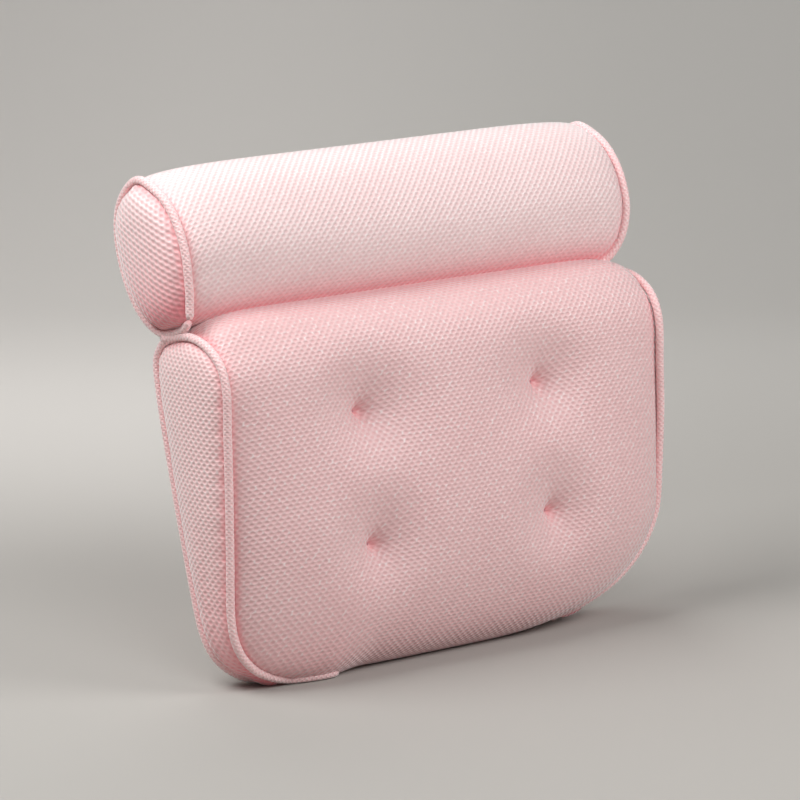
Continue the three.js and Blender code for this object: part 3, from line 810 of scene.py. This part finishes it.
class Skin:
    """One closed mesh of points, with faces sorted into panels and cloth places for each corner."""

    def __init__(self, form, kept_stations, kept_shares, panel_of, middle_stations):
        self.form = form
        self.stations = even_stations(form, kept_stations)
        self.shares = even_shares(form, kept_shares)
        self.rows, self.columns = len(self.stations), len(self.shares)
        self.faces, self.places, self.panels = [], [], []
        self.tube = self.make_tube()
        self.points = [self.tube.reshape(-1, 3)]
        self.count = self.rows * self.columns
        self.loops = {}
        self.add_tube(panel_of, middle_stations)
        for side in (-1, 1):
            self.add_side(side)
        self.points = np.concatenate(self.points)

    def make_tube(self):
        lines = section(self.form, self.shares, self.stations)
        halves = [corner.half_width(lines[:, end, 1])
                  for end, corner in ((0, self.form.corners[-1]), (-1, self.form.corners[1]))]
        half = np.where(self.shares < 0, halves[0][:, None], halves[1][:, None])
        return np.stack([self.shares * half, -lines[..., 0], lines[..., 1]], axis=2)

    def cloth_grid_places(self, middle_row):
        """Each tube point's place on the flat cloth: along its row and along its column."""
        closed = np.concatenate([self.tube, self.tube[:1]])
        across = np.linalg.norm(np.diff(closed, axis=1), axis=2)
        across = np.concatenate([np.zeros((self.rows + 1, 1)), np.cumsum(across, axis=1)], axis=1)
        across -= across[:, self.columns // 2][:, None]
        along = np.hypot(*np.diff(closed[..., 1:], axis=0).transpose(2, 0, 1))
        along = np.concatenate([np.zeros((1, self.columns)), np.cumsum(along, axis=0)])
        return across, along - along[middle_row], along[-1]

    def add_tube(self, panel_of, middle_stations):
        kept = {}
        for panel, station in middle_stations.items():
            kept[panel] = self.cloth_grid_places(int(np.abs(self.stations - station).argmin()))
        for row in range(self.rows):
            after = (row + 1) % self.rows
            panel = panel_of(self.stations[row])
            across, along, turn = kept[panel]
            wraps = panel == "back" and self.stations[row] < pad_front_stations[0]
            for column in range(self.columns - 1):
                corners = [(row, column), (row + 1, column), (row + 1, column + 1),
                           (row, column + 1)]
                self.faces.append([(r if r < self.rows else after) * self.columns + c
                                   for r, c in corners])
                self.places.append([(across[r, c], along[r, c] + wraps * turn[c])
                                    for r, c in corners])
                self.panels.append(panel)

    def add_side(self, side):
        """A side panel: a staggered lattice between the seam's points, bulging outwards."""
        column = 0 if side < 0 else self.columns - 1
        panel = "left" if side < 0 else "right"
        seam = np.arange(self.rows) * self.columns + column
        self.loops[panel] = seam
        corner = self.form.corners[side]
        top = self.form.foot + self.form.height * profile_height_share
        heights = np.linspace(self.form.foot, top, profile_steps)
        lengths = lengths_along(np.stack([heights, corner.half_width(heights)], axis=1))
        edge = self.tube[:, column]
        flat = np.stack([-edge[:, 1], np.interp(edge[:, 2], heights, lengths)], axis=1)
        outline = Outline(flat)
        inner = outline.lattice(cloth_grid)
        rises = np.interp(inner[:, 1], lengths, heights)
        places = np.concatenate([flat, inner])
        spine = self.spine()
        spine[:, 1] = np.interp(spine[:, 1], heights, lengths)
        bulge, cloth = self.bulge(places, outline.distance(places), spine)
        placed = np.stack([side * corner.half_width(rises), -inner[:, 0], rises], axis=1)
        self.points.append(placed + corner.outward(rises, side) * bulge[len(flat):, None])
        numbers = np.concatenate([seam, np.arange(len(inner)) + self.count])
        self.count += len(inner)
        self.add_triangles(places, cloth, len(flat), numbers, side, panel)

    def spine(self):
        scale = np.array([self.form.end_depth, self.form.height])
        return self.form.spine_shares * scale + np.array([0, self.form.foot])

    def bulge(self, places, to_edge, spine):
        """How far each place of a side panel stands out, and its place on the curved cloth."""
        nearest = nearest_on_segment(places, *spine)
        away = places - nearest
        from_spine = np.maximum(np.linalg.norm(away, axis=1), smallest_length)
        across = from_spine + to_edge
        rise = self.form.bulge * np.minimum(across / self.form.bulge_reach, 1)
        shares = np.linspace(0, 1, slack_steps + 1)[:, None] * (from_spine / across)
        heights = rise * swell(shares, bulge_swell)
        run = np.hypot(np.diff(heights, axis=0), from_spine / slack_steps).sum(axis=0)
        return heights[-1], nearest + away * (run / from_spine)[:, None]

    def add_triangles(self, flat, cloth, edge_count, numbers, side, panel):
        found = delaunay_2d_cdt([Vector(place) for place in flat], [],
                                [list(range(edge_count))], 1, merge_distance)
        sources = [original[0] for original in found[3]]
        for face in found[2]:
            ordered = [sources[corner] for corner in face]
            if side > 0:
                ordered.reverse()
            self.faces.append([int(numbers[corner]) for corner in ordered])
            self.places.append([grain_place(cloth[corner], self.form) for corner in ordered])
            self.panels.append(panel)

    def normals(self):
        mesh = new_mesh("measure", self.points, self.faces)
        normals = np.array([vertex.normal for vertex in mesh.vertices])
        bpy.data.meshes.remove(mesh)
        return normals


def pad_panel(station):
    return "front" if pad_front_stations[0] <= station < pad_front_stations[1] else "back"


pad_skin = Skin(pad, [*pad_front_stations, *tuft_stations, gusset_tip_station],
                [-tuft_share, tuft_share], pad_panel, pad_middle_stations)
roll_skin = Skin(roll, [], [], lambda station: "cover", roll_middle_stations)
pad_skin.points[:, 1] += tuft_pull(pad_skin.points)
pad_skin.points[:, 2] -= corner_drop(pad_skin.points)


# Stuffing the skins
def part_place(points):
    """Points of the pillow's own frame, in the part's frame."""
    tipped = points @ np.array(own_to_part.to_3x3()).T
    return tipped + np.array(own_to_part.translation)


def held_weights(skin):
    """How firmly each point is held while the cushion fills: the seams, tufts, foot and back."""
    weights = np.zeros(len(skin.points))
    for loop in skin.loops.values():
        weights[loop] = 1
    if skin.form is pad:
        for tuft in tuft_middles:
            weights[from_tuft(skin.points, tuft) < cloth_grid] = 1
    weights[part_place(skin.points)[:, 2] < foot_hold] = 1
    weights[-skin.points[:, 1] < back_hold] = 1
    return weights


def add_filling_piece(skin, held):
    """The skin as cloth under pressure."""
    piece = bpy.data.objects.new("filling_out", new_mesh("filling_out", skin.points, skin.faces))
    bpy.context.collection.objects.link(piece)
    group = piece.vertex_groups.new(name="held")
    for index, weight in enumerate(held):
        group.add([index], float(weight), "REPLACE")
    settings = piece.modifiers.new("cloth", "CLOTH").settings
    for name, value in fill_settings.items():
        setattr(settings, name, value)
    settings.effector_weights.gravity = 0
    return piece


def fill_out(skin):
    """Cloth simulation: air pressure fills the skin between what holds it."""
    held = held_weights(skin)
    piece = add_filling_piece(skin, held)
    scene = bpy.context.scene
    for step in range(1, fill_frames + 1):
        scene.frame_set(step)
    filled = piece.evaluated_get(bpy.context.evaluated_depsgraph_get()).to_mesh()
    move = mesh_points(filled) - skin.points
    length = np.linalg.norm(move, axis=1, keepdims=True)
    move *= np.minimum(1, most_swell / np.maximum(length, smallest_length))
    skin.points = skin.points + calmed(move, skin, held)
    scene.frame_set(1)
    mesh = piece.data
    bpy.data.objects.remove(piece)
    bpy.data.meshes.remove(mesh)


def mesh_points(mesh):
    places = np.empty(len(mesh.vertices) * 3)
    mesh.vertices.foreach_get("co", places)
    return places.reshape(-1, 3)


def calmed(move, skin, held):
    """The simulation's moves with small ripples averaged out, and unchanged where held."""
    pairs = {tuple(sorted((a, b))) for face in skin.faces for a, b in zip(face, face[1:] + face[:1])}
    first, second = np.array(sorted(pairs)).T
    count = np.bincount(first, minlength=len(move)) + np.bincount(second, minlength=len(move))
    for _ in range(calming_passes):
        total = np.zeros_like(move)
        np.add.at(total, first, move[second])
        np.add.at(total, second, move[first])
        move = np.where(held[:, None] > 0, move, (move + total / count[:, None]) / 2)
    return move


fill_out(pad_skin)
fill_out(roll_skin)


# Pieces of cloth cut from the skins
def apply_modifiers(piece):
    evaluated = piece.evaluated_get(bpy.context.evaluated_depsgraph_get())
    mesh = bpy.data.meshes.new_from_object(evaluated, preserve_all_data_layers=True,
                                           depsgraph=bpy.context.evaluated_depsgraph_get())
    piece.modifiers.clear()
    piece.data = mesh


def fading(blush, away):
    """A painted shade that fades with the distance."""
    strength, reach = blush
    return strength * np.exp(-away / reach)


def blush_of(skin):
    """Painted shade: deeper colour where the cloth dives into seams, tufts and the crease, and low
    down, from 0 to 1.
    """
    points, heights = skin.points, skin.points[:, 2]
    blush = np.zeros(len(points))
    blocks = np.array_split(points, range(block_size, len(points), block_size))
    for loop in skin.loops.values():
        near = [np.linalg.norm(block[:, None] - points[loop][None], axis=2).min(axis=1)
                for block in blocks]
        blush += fading(seam_blush, np.concatenate(near))
    if skin.form is pad:
        for tuft in tuft_middles:
            blush += fading(tuft_blush, from_tuft(points, tuft))
        blush += fading(foot_blush, np.maximum(heights, 0))
    sides = np.arange(len(points)) >= skin.rows * skin.columns
    low = np.maximum(heights - skin.form.foot, 0)
    blush += np.where(sides, fading(side_blush, low), 0)
    crease = pad_height + roll_lift / 2 + crease_rise
    crease_blush = pad_crease_blush if skin.form is pad else roll_crease_blush
    blush += fading(crease_blush, np.abs(heights - crease))
    return np.clip(blush, 0, 1)


def pinch(points):
    """The sharp end of each tuft: a deep point, with the cloth gathered in towards it."""
    for tuft in tuft_middles:
        off = points[:, [0, 2]] - tuft[[0, 2]]
        away = from_tuft(points, tuft)
        points[:, [0, 2]] -= off * (gather_share * np.exp(-away / gather_reach))[:, None]
        points[:, 1] += pinch_depth * np.square(np.clip(1 - away / pinch_reach, 0, 1))
    return points


def tuft_tip(points, tuft):
    """How far back the outside of the front cloth lies in the bottom of a dimple."""
    return points[from_tuft(points, tuft) < tip_reach, 1].max()


tuft_tips = []


def panel_piece(skin, panel, name, material):
    """One panel of a skin as a piece of cloth with its thickness on the inside."""
    chosen = [index for index, owner in enumerate(skin.panels) if owner == panel]
    used = sorted({corner for index in chosen for corner in skin.faces[index]})
    renumbered = {old: new for new, old in enumerate(used)}
    faces = [[renumbered[corner] for corner in skin.faces[index]] for index in chosen]
    mesh = new_mesh(name, skin.points[used], faces)
    lay_flat(mesh, "cloth", [place for index in chosen for place in skin.places[index]])
    # The painted shade is stored on the cloth's points.
    blush = mesh.attributes.new("blush", "FLOAT", "POINT")
    blush.data.foreach_set("value", skin.blush[used].astype(np.float32))
    piece = link(name, mesh, material)
    smooth = piece.modifiers.new("smooth", "SUBSURF")
    smooth.levels = smooth.render_levels = 1
    apply_modifiers(piece)
    points = mesh_points(piece.data)
    if panel == "front":
        points = pinch(points)
        tuft_tips.extend(tuft_tip(points, tuft) for tuft in tuft_middles)
    placed = part_place(points)
    placed[:, 2] = np.maximum(placed[:, 2], floor_gap)
    piece.data.vertices.foreach_set("co", placed.ravel())
    wall = piece.modifiers.new("wall", "SOLIDIFY")
    wall.thickness = cloth_thickness
    wall.offset = -1
    apply_modifiers(piece)
    return piece


def stuffing_piece(skin, name):
    """The fibre inside: the whole skin, drawn in by the cloth."""
    points = part_place(skin.points - skin.normals() * (cloth_thickness + stuffing_gap))
    points[:, 2] = np.maximum(points[:, 2], floor_gap + cloth_thickness)
    return link(name, new_mesh(name, points, skin.faces), fibre)


for skin in (pad_skin, roll_skin):
    skin.blush = blush_of(skin)

pad_pieces = {
    "front": ("pad_front_cloth", "pad_front_cover", front_mesh),
    "back": ("pad_back_cloth", "pad_back_cover", front_mesh),
    "left": ("pad_left_gusset_cloth", "pad_left_gusset", gusset_mesh),
    "right": ("pad_right_gusset_cloth", "pad_right_gusset", gusset_mesh),
}
roll_pieces = {
    "cover": ("roll_cloth", "roll_cover", roll_mesh),
    "left": ("roll_left_end_cloth", "roll_left_end", end_mesh),
    "right": ("roll_right_end_cloth", "roll_right_end", end_mesh),
}


def add_cushion(skin, pieces, stuffing, body):
    for panel, (name, node, material) in pieces.items():
        piece = panel_piece(skin, panel, name, material)
        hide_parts(node)
        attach(piece, body)
    name, node = stuffing
    piece = stuffing_piece(skin, name)
    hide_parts(node)
    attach(piece, body)


add_cushion(pad_skin, pad_pieces, ("pad_stuffing", "pad_filling"), "pad")
add_cushion(roll_skin, roll_pieces, ("roll_stuffing", "roll_filling"), "neck_roll")


# Piping
def relaxed(line, passes):
    for _ in range(passes):
        line[1:-1] = line[1:-1] / 2 + (line[:-2] + line[2:]) / 4
    return line


def cord_rings(route, outward):
    """Rings of points round a smoothed route, and how far along it each ring is."""
    marks = lengths_along(route)
    along = np.linspace(0, marks[-1], round(marks[-1] / piping_step) + 1)
    line = relaxed(between(along, marks, route), piping_smoothing)
    ahead = np.gradient(line, axis=0)
    ahead /= np.linalg.norm(ahead, axis=1, keepdims=True)
    side = np.cross(ahead, between(along, marks, outward))
    side /= np.linalg.norm(side, axis=1, keepdims=True)
    up = np.cross(side, ahead)
    angles = np.arange(piping_sides)[:, None] * math.tau / piping_sides
    radii = np.full(len(line), piping_radius)
    for place, share in enumerate(piping_end_shares):
        radii[[place, -1 - place]] *= share
    ring = np.cos(angles) * up[:, None] + np.sin(angles) * side[:, None]
    return line[:, None] + ring * radii[:, None, None], along


def swept_tube(name, route, outward):
    """A round cord of mesh cloth along a route, closed at its narrower ends."""
    rings, along = cord_rings(route, outward)
    edges = np.arange(piping_sides + 1) / piping_sides * piping_cells * cell_width
    places = []
    for low, high in zip(along / piping_cell_share, along[1:] / piping_cell_share):
        for left, right in zip(edges, edges[1:]):
            places += [(left, low), (right, low), (right, high), (left, high)]
    places += [(0, 0)] * (2 * piping_sides)
    first_end = list(range(piping_sides))
    last_end = [(len(rings) - 1) * piping_sides + column for column in first_end]
    faces = [*tube_faces(len(rings), piping_sides), first_end[::-1], last_end]
    mesh = new_mesh(name, part_place(rings.reshape(-1, 3)), faces)
    lay_flat(mesh, "cloth", places)
    return link(name, mesh, piping_cloth)


def seam_rows(skin, first, last, step):
    """Rows along a seam from one station to another, forwards or backwards round the section."""
    row, end = (int(np.abs(skin.stations - station).argmin()) for station in (first, last))
    rows = [row]
    while row != end:
        row = (row + step) % skin.rows
        rows.append(row)
    return rows


def lowest_left_front(skin, length):
    """The points along a form's lowest front line, from near its left side towards the middle."""
    columns = np.arange(tail_start_column, round(length / cloth_grid) + 1)
    numbers = np.arange(skin.rows)[:, None] * skin.columns + columns
    forward = np.linspace(*tail_forward_shares, len(columns))
    places = part_place(skin.points[numbers.ravel()]).reshape(*numbers.shape, 3)
    low = -places[..., 2] - places[..., 1] * forward
    return numbers[low.argmax(axis=0), np.arange(len(columns))]


def overrun(route, outward, end):
    """Carries the end of a route straight on."""
    ahead = route[-1] - route[-4]
    ahead /= np.linalg.norm(ahead)
    extra = [route[-1] + ahead * end.run_on * share for share in (1 / 3, 2 / 3, 1)]
    return np.concatenate([route, extra]), np.concatenate([outward, [outward[-1]] * 3])


def above_floor(route):
    """Raises what would sink into the floor."""
    low = piping_radius + piping_floor_gap - part_place(route)[:, 2]
    up = np.array(lean.to_3x3().inverted() @ Vector((0, 0, 1)))
    return route + np.maximum(low, 0)[:, None] * up


def lifted(route, outward, height):
    """Raises the last end of a route off the seam, or lowers it where the height is below zero."""
    left = lengths_along(route[::-1])[::-1]
    return route + outward * (height * smooth_step(-left, -piping_lift_length, 0))[:, None]


def add_piping(skin, side, run, name, node, body, stand=piping_stands):
    """One run of piping along a side's seam, with a tail where its first end has one."""
    rows = seam_rows(skin, *run.stations, run.step)
    numbers = skin.loops[side][rows]
    if run.first_end.tail:
        numbers = [*lowest_left_front(skin, run.first_end.tail)[::-1], *numbers]
    outward = skin.normals()[numbers]
    stands = np.interp(skin.points[numbers][:, 2], stand_heights, stand)
    stands[:len(numbers) - len(rows)] = tail_stand
    route = skin.points[numbers] + outward * stands[:, None]
    for end in (run.last_end, run.first_end):
        route, outward = overrun(route, outward, end)
        route = lifted(route, outward, end.lift)
        route, outward = route[::-1], outward[::-1]
    piece = swept_tube(name, above_floor(route), outward)
    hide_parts(node)
    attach(piece, body)


for side in ("left", "right"):
    add_piping(pad_skin, side, pad_front_runs[side], f"pad_{side}_front_cord",
               f"pad_{side}_piping", "pad", pad_front_stands[side])
    add_piping(pad_skin, side, pad_back_run, f"pad_{side}_back_cord", f"pad_{side}_piping", "pad")
    add_piping(roll_skin, side, roll_runs[side], f"roll_{side}_cord", f"roll_{side}_piping",
               "neck_roll")


def own_middle(node):
    """The middle of a solid's box, in the pillow's own frame."""
    low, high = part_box(node)
    return own_to_part.inverted() @ ((low + high) / 2)


def add_joining_cord():
    """The covered seam between pad and roll, on which the roll folds."""
    low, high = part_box("joining_seam")
    reach = (high.x - low.x) / 2
    across = np.linspace(-reach, reach, joining_points)
    route = np.array(own_middle("joining_seam")) + np.outer(across, (1, 0, 0))
    outward = np.tile((0.0, 1.0, 0.0), (joining_points, 1))
    piece = swept_tube("joining_cord", route, outward)
    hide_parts("joining_seam")
    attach(piece, "pad")


add_joining_cord()


# Suction cups, patches and what is sewn
def lathe_mesh(name, profile, sides):
    """A closed turned shape round Y; the profile starts and ends on the axis."""
    points = [(0, profile[0][1], 0), *turned(profile[1:-1], sides), (0, profile[-1][1], 0)]
    faces = tube_faces(len(profile) - 2, sides, first=1)
    last = 1 + (len(profile) - 3) * sides
    for side in range(sides):
        after = (side + 1) % sides
        faces.append([0, 1 + after, 1 + side])
        faces.append([last + side, last + after, len(points) - 1])
    return new_mesh(name, points, faces)


def cup_mesh(name):
    """Dish, sealing lip, bell and the stud that goes through the cloth."""
    bowl = [(out * cup_radius, back * cup_reach) for out, back in cup_profile_shares]
    stud = [
        (cup_neck_radius, stud_back), (stud_head_radius, stud_back),
        (stud_rim_radius, stud_back - stud_rim_height),
        (stud_end_radius, stud_back - stud_height), (0, stud_back - stud_height),
    ]
    return lathe_mesh(name, [*bowl, *stud], cup_sides)


def patch_mesh(name):
    """A flat ring of tape with a soft edge."""
    hole = cup_neck_radius + patch_hole_gap
    edge = [(patch_radius - inset * patch_thickness, patch_stand + rise * patch_thickness)
            for inset, rise in patch_edge_shares]
    outline = [(hole, patch_stand), *edge, (hole, patch_back)]
    points = turned(outline, cup_sides)
    faces = [[corner % len(points) for corner in face]
             for face in tube_faces(len(outline) + 1, cup_sides)]
    return new_mesh(name, points, faces)


def stitch_ring(name, radius, count, back):
    """Zigzag stitches round a ring, as short rounded bars."""
    points, faces = [], []
    lift = Vector((0, stitch_radius, 0))
    for number in range(count):
        angle = (number + 0.5) * math.tau / count
        skew = stitch_skew if number % 2 else -stitch_skew
        outward = Vector((math.cos(angle), 0, math.sin(angle)))
        around = Vector((-math.sin(angle), 0, math.cos(angle)))
        middle = outward * radius + Vector((0, back, 0))
        along = (outward + around * skew).normalized() * stitch_length / 2
        across = along.normalized().cross(Vector((0, 1, 0))) * stitch_radius
        first = len(points)
        for end, thick, rise in stitch_bar_shares:
            centre = middle + along * end + lift * rise
            points += [centre + across * thick, centre + lift * thick, centre - across * thick,
                       centre - lift * thick]
        last = len(points) - 4
        faces += tube_faces(len(stitch_bar_shares), 4, first)
        faces += [[first, first + 3, first + 2, first + 1], [last, last + 1, last + 2, last + 3]]
    return new_mesh(name, points, faces)


def tie_mesh(name, tip):
    """A stitch in the bottom of a dimple, the thread through the pad and a knot behind."""
    front = tip - tie_stand
    profile = [
        (0, front),
        (tie_stitch_radius * tie_round_share, front + tie_stand * tie_rise_share),
        (tie_stitch_radius, tip), (tie_thread_radius, tip + tie_stand),
        (tie_thread_radius, tie_knot_start), (tie_knot_radius, tie_knot_start),
        (tie_knot_radius * tie_round_share, tie_knot_end), (0, tie_knot_end),
    ]
    return lathe_mesh(name, profile, tie_sides)


def place_mesh(mesh, place):
    mesh.transform(own_to_part @ Matrix.Translation(place))
    return mesh


for number in range(1, cup_count + 1):
    middle = own_middle(f"cup_patch_{number}")
    place = Vector((middle.x, 0, middle.z))
    holder = "pad" if number <= cups_on_pad else "neck_roll"
    cup = link(f"cup_{number}_vinyl", place_mesh(cup_mesh("cup"), place), vinyl)
    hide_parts(f"suction_cup_{number}")
    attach(cup, f"cup_{number}")
    patch = link(f"patch_{number}_tape", place_mesh(patch_mesh("patch"), place), tape)
    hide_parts(f"cup_patch_{number}")
    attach(patch, holder)
    ring = stitch_ring("stitches", patch_radius - patch_inset, stitches_per_patch, patch_back)
    stitches = link(f"patch_{number}_stitches", place_mesh(ring, place), thread)
    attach(stitches, holder)

for number in range(1, len(tuft_middles) + 1):
    middle = own_middle(f"tuft_tie_{number}")
    away = [math.hypot(tuft[0] - middle.x, tuft[2] - middle.z) for tuft in tuft_middles]
    nearest = away.index(min(away))
    place = Vector((tuft_middles[nearest][0], 0, tuft_middles[nearest][2]))
    tie = link(f"tie_{number}_thread", place_mesh(tie_mesh("tie", tuft_tips[nearest]), place),
               thread)
    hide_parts(f"tuft_tie_{number}")
    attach(tie, "pad")

for name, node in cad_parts.items():
    if name.startswith("cup_retainer"):
        node.data.materials.clear()
        node.data.materials.append(plastic)


# Floor, backdrop and light
def studio_paper():
    material, nodes, shader = new_material("studio_paper")
    where = nodes.add("ShaderNodeUVMap", uv_map="paper").outputs[0]
    place = nodes.add("ShaderNodeSeparateXYZ", {0: where})
    across, out = place.outputs[0], place.outputs[1]
    floor = linear(*floor_colour)
    # Painted light: the paper is lighter in a band and towards the far wall; its glow, seen straight
    # or in a gloss, is painted light too.
    band = nodes.mix(nodes.smooth(out, *band_reach), floor, linear(*painted_light_band_colour))
    far = nodes.mix(nodes.smooth(out, *far_reach), floor, linear(*painted_far_light_colour))
    paper = nodes.mix(nodes.smooth(across, -side_reach, side_reach), band, far)
    nodes.set(shader.inputs["Base Color"], paper)
    glow = nodes.smooth(nodes.math("ABSOLUTE", out), *glow_reach, 0.0, backdrop_glow)
    shader.inputs["Emission Color"].default_value = glow_colour
    nodes.set(shader.inputs["Emission Strength"], nodes.math("MULTIPLY", seen_share(nodes), glow))
    shader.inputs["Roughness"].default_value = paper_roughness
    see_through_from_behind(nodes, shader)
    return material


def see_through_from_behind(nodes, shader):
    """A camera behind the paper sees the object through it."""
    behind = nodes.add("ShaderNodeNewGeometry").outputs["Backfacing"]
    clear = nodes.add("ShaderNodeBsdfTransparent").outputs[0]
    both = nodes.add("ShaderNodeMixShader", {0: behind, 1: shader.outputs[0], 2: clear})
    output = nodes.tree.nodes["Material Output"]
    nodes.tree.links.new(both.outputs[0], output.inputs["Surface"])


def seen_share(nodes):
    """Is 1 for what is seen straight, in a gloss or through something clear."""
    path = nodes.add("ShaderNodeLightPath").outputs
    seen = nodes.math("MAXIMUM", path["Is Camera Ray"], path["Is Glossy Ray"])
    return nodes.math("MAXIMUM", seen, path["Is Transmission Ray"])


def add_backdrop():
    """A sheet of paper that runs along the floor and bends up behind the object."""
    azimuth = math.radians(camera_azimuth_degrees)
    away = Vector((math.sin(azimuth), math.cos(azimuth), 0))
    across = Vector((away.y, -away.x, 0))
    line = [(-floor_size, 0), (0, 0), (wall_start, 0)]
    for step in range(1, wall_steps + 1):
        angle = step / wall_steps * math.pi / 2
        line.append((wall_start + wall_bend * math.sin(angle), wall_bend * (1 - math.cos(angle))))
    line.append((wall_start + wall_bend, wall_height))
    sides = (-floor_size, floor_size)
    points = [away * out + across * side + Vector((0, 0, up)) for out, up in line for side in sides]
    flat = [(side, length - floor_size) for length in lengths_along(line) for side in sides]
    faces = [[2 * row, 2 * row + 1, 2 * row + 3, 2 * row + 2] for row in range(len(line) - 1)]
    mesh = new_mesh("backdrop", points, faces)
    lay_flat(mesh, "paper", [flat[corner] for face in faces for corner in face])
    link("backdrop", mesh, studio_paper())


def add_light(name, look):
    data = bpy.data.lights.new(name, "AREA")
    data.shape = "DISK"
    data.size = look.size
    data.energy = look.power
    lamp = bpy.data.objects.new(name, data)
    lamp.location = look.place
    ahead = Vector(lamp_target) - Vector(look.place)
    lamp.rotation_euler = ahead.to_track_quat("-Z", "Y").to_euler()
    bpy.context.collection.objects.link(lamp)


def light_studio():
    world = bpy.data.worlds.new("studio")
    world.use_nodes = True
    background = world.node_tree.nodes["Background"]
    background.inputs["Color"].default_value = world_colour
    nodes = Nodes(world.node_tree)
    share = nodes.math("MULTIPLY", seen_share(nodes), world_glow)
    nodes.set(background.inputs["Strength"], nodes.math("ADD", share, world_light))
    bpy.context.scene.world = world
    for name, look in lamps.items():
        add_light(name, look)


add_backdrop()
light_studio()
bpy.context.scene.view_settings.view_transform = "Standard"
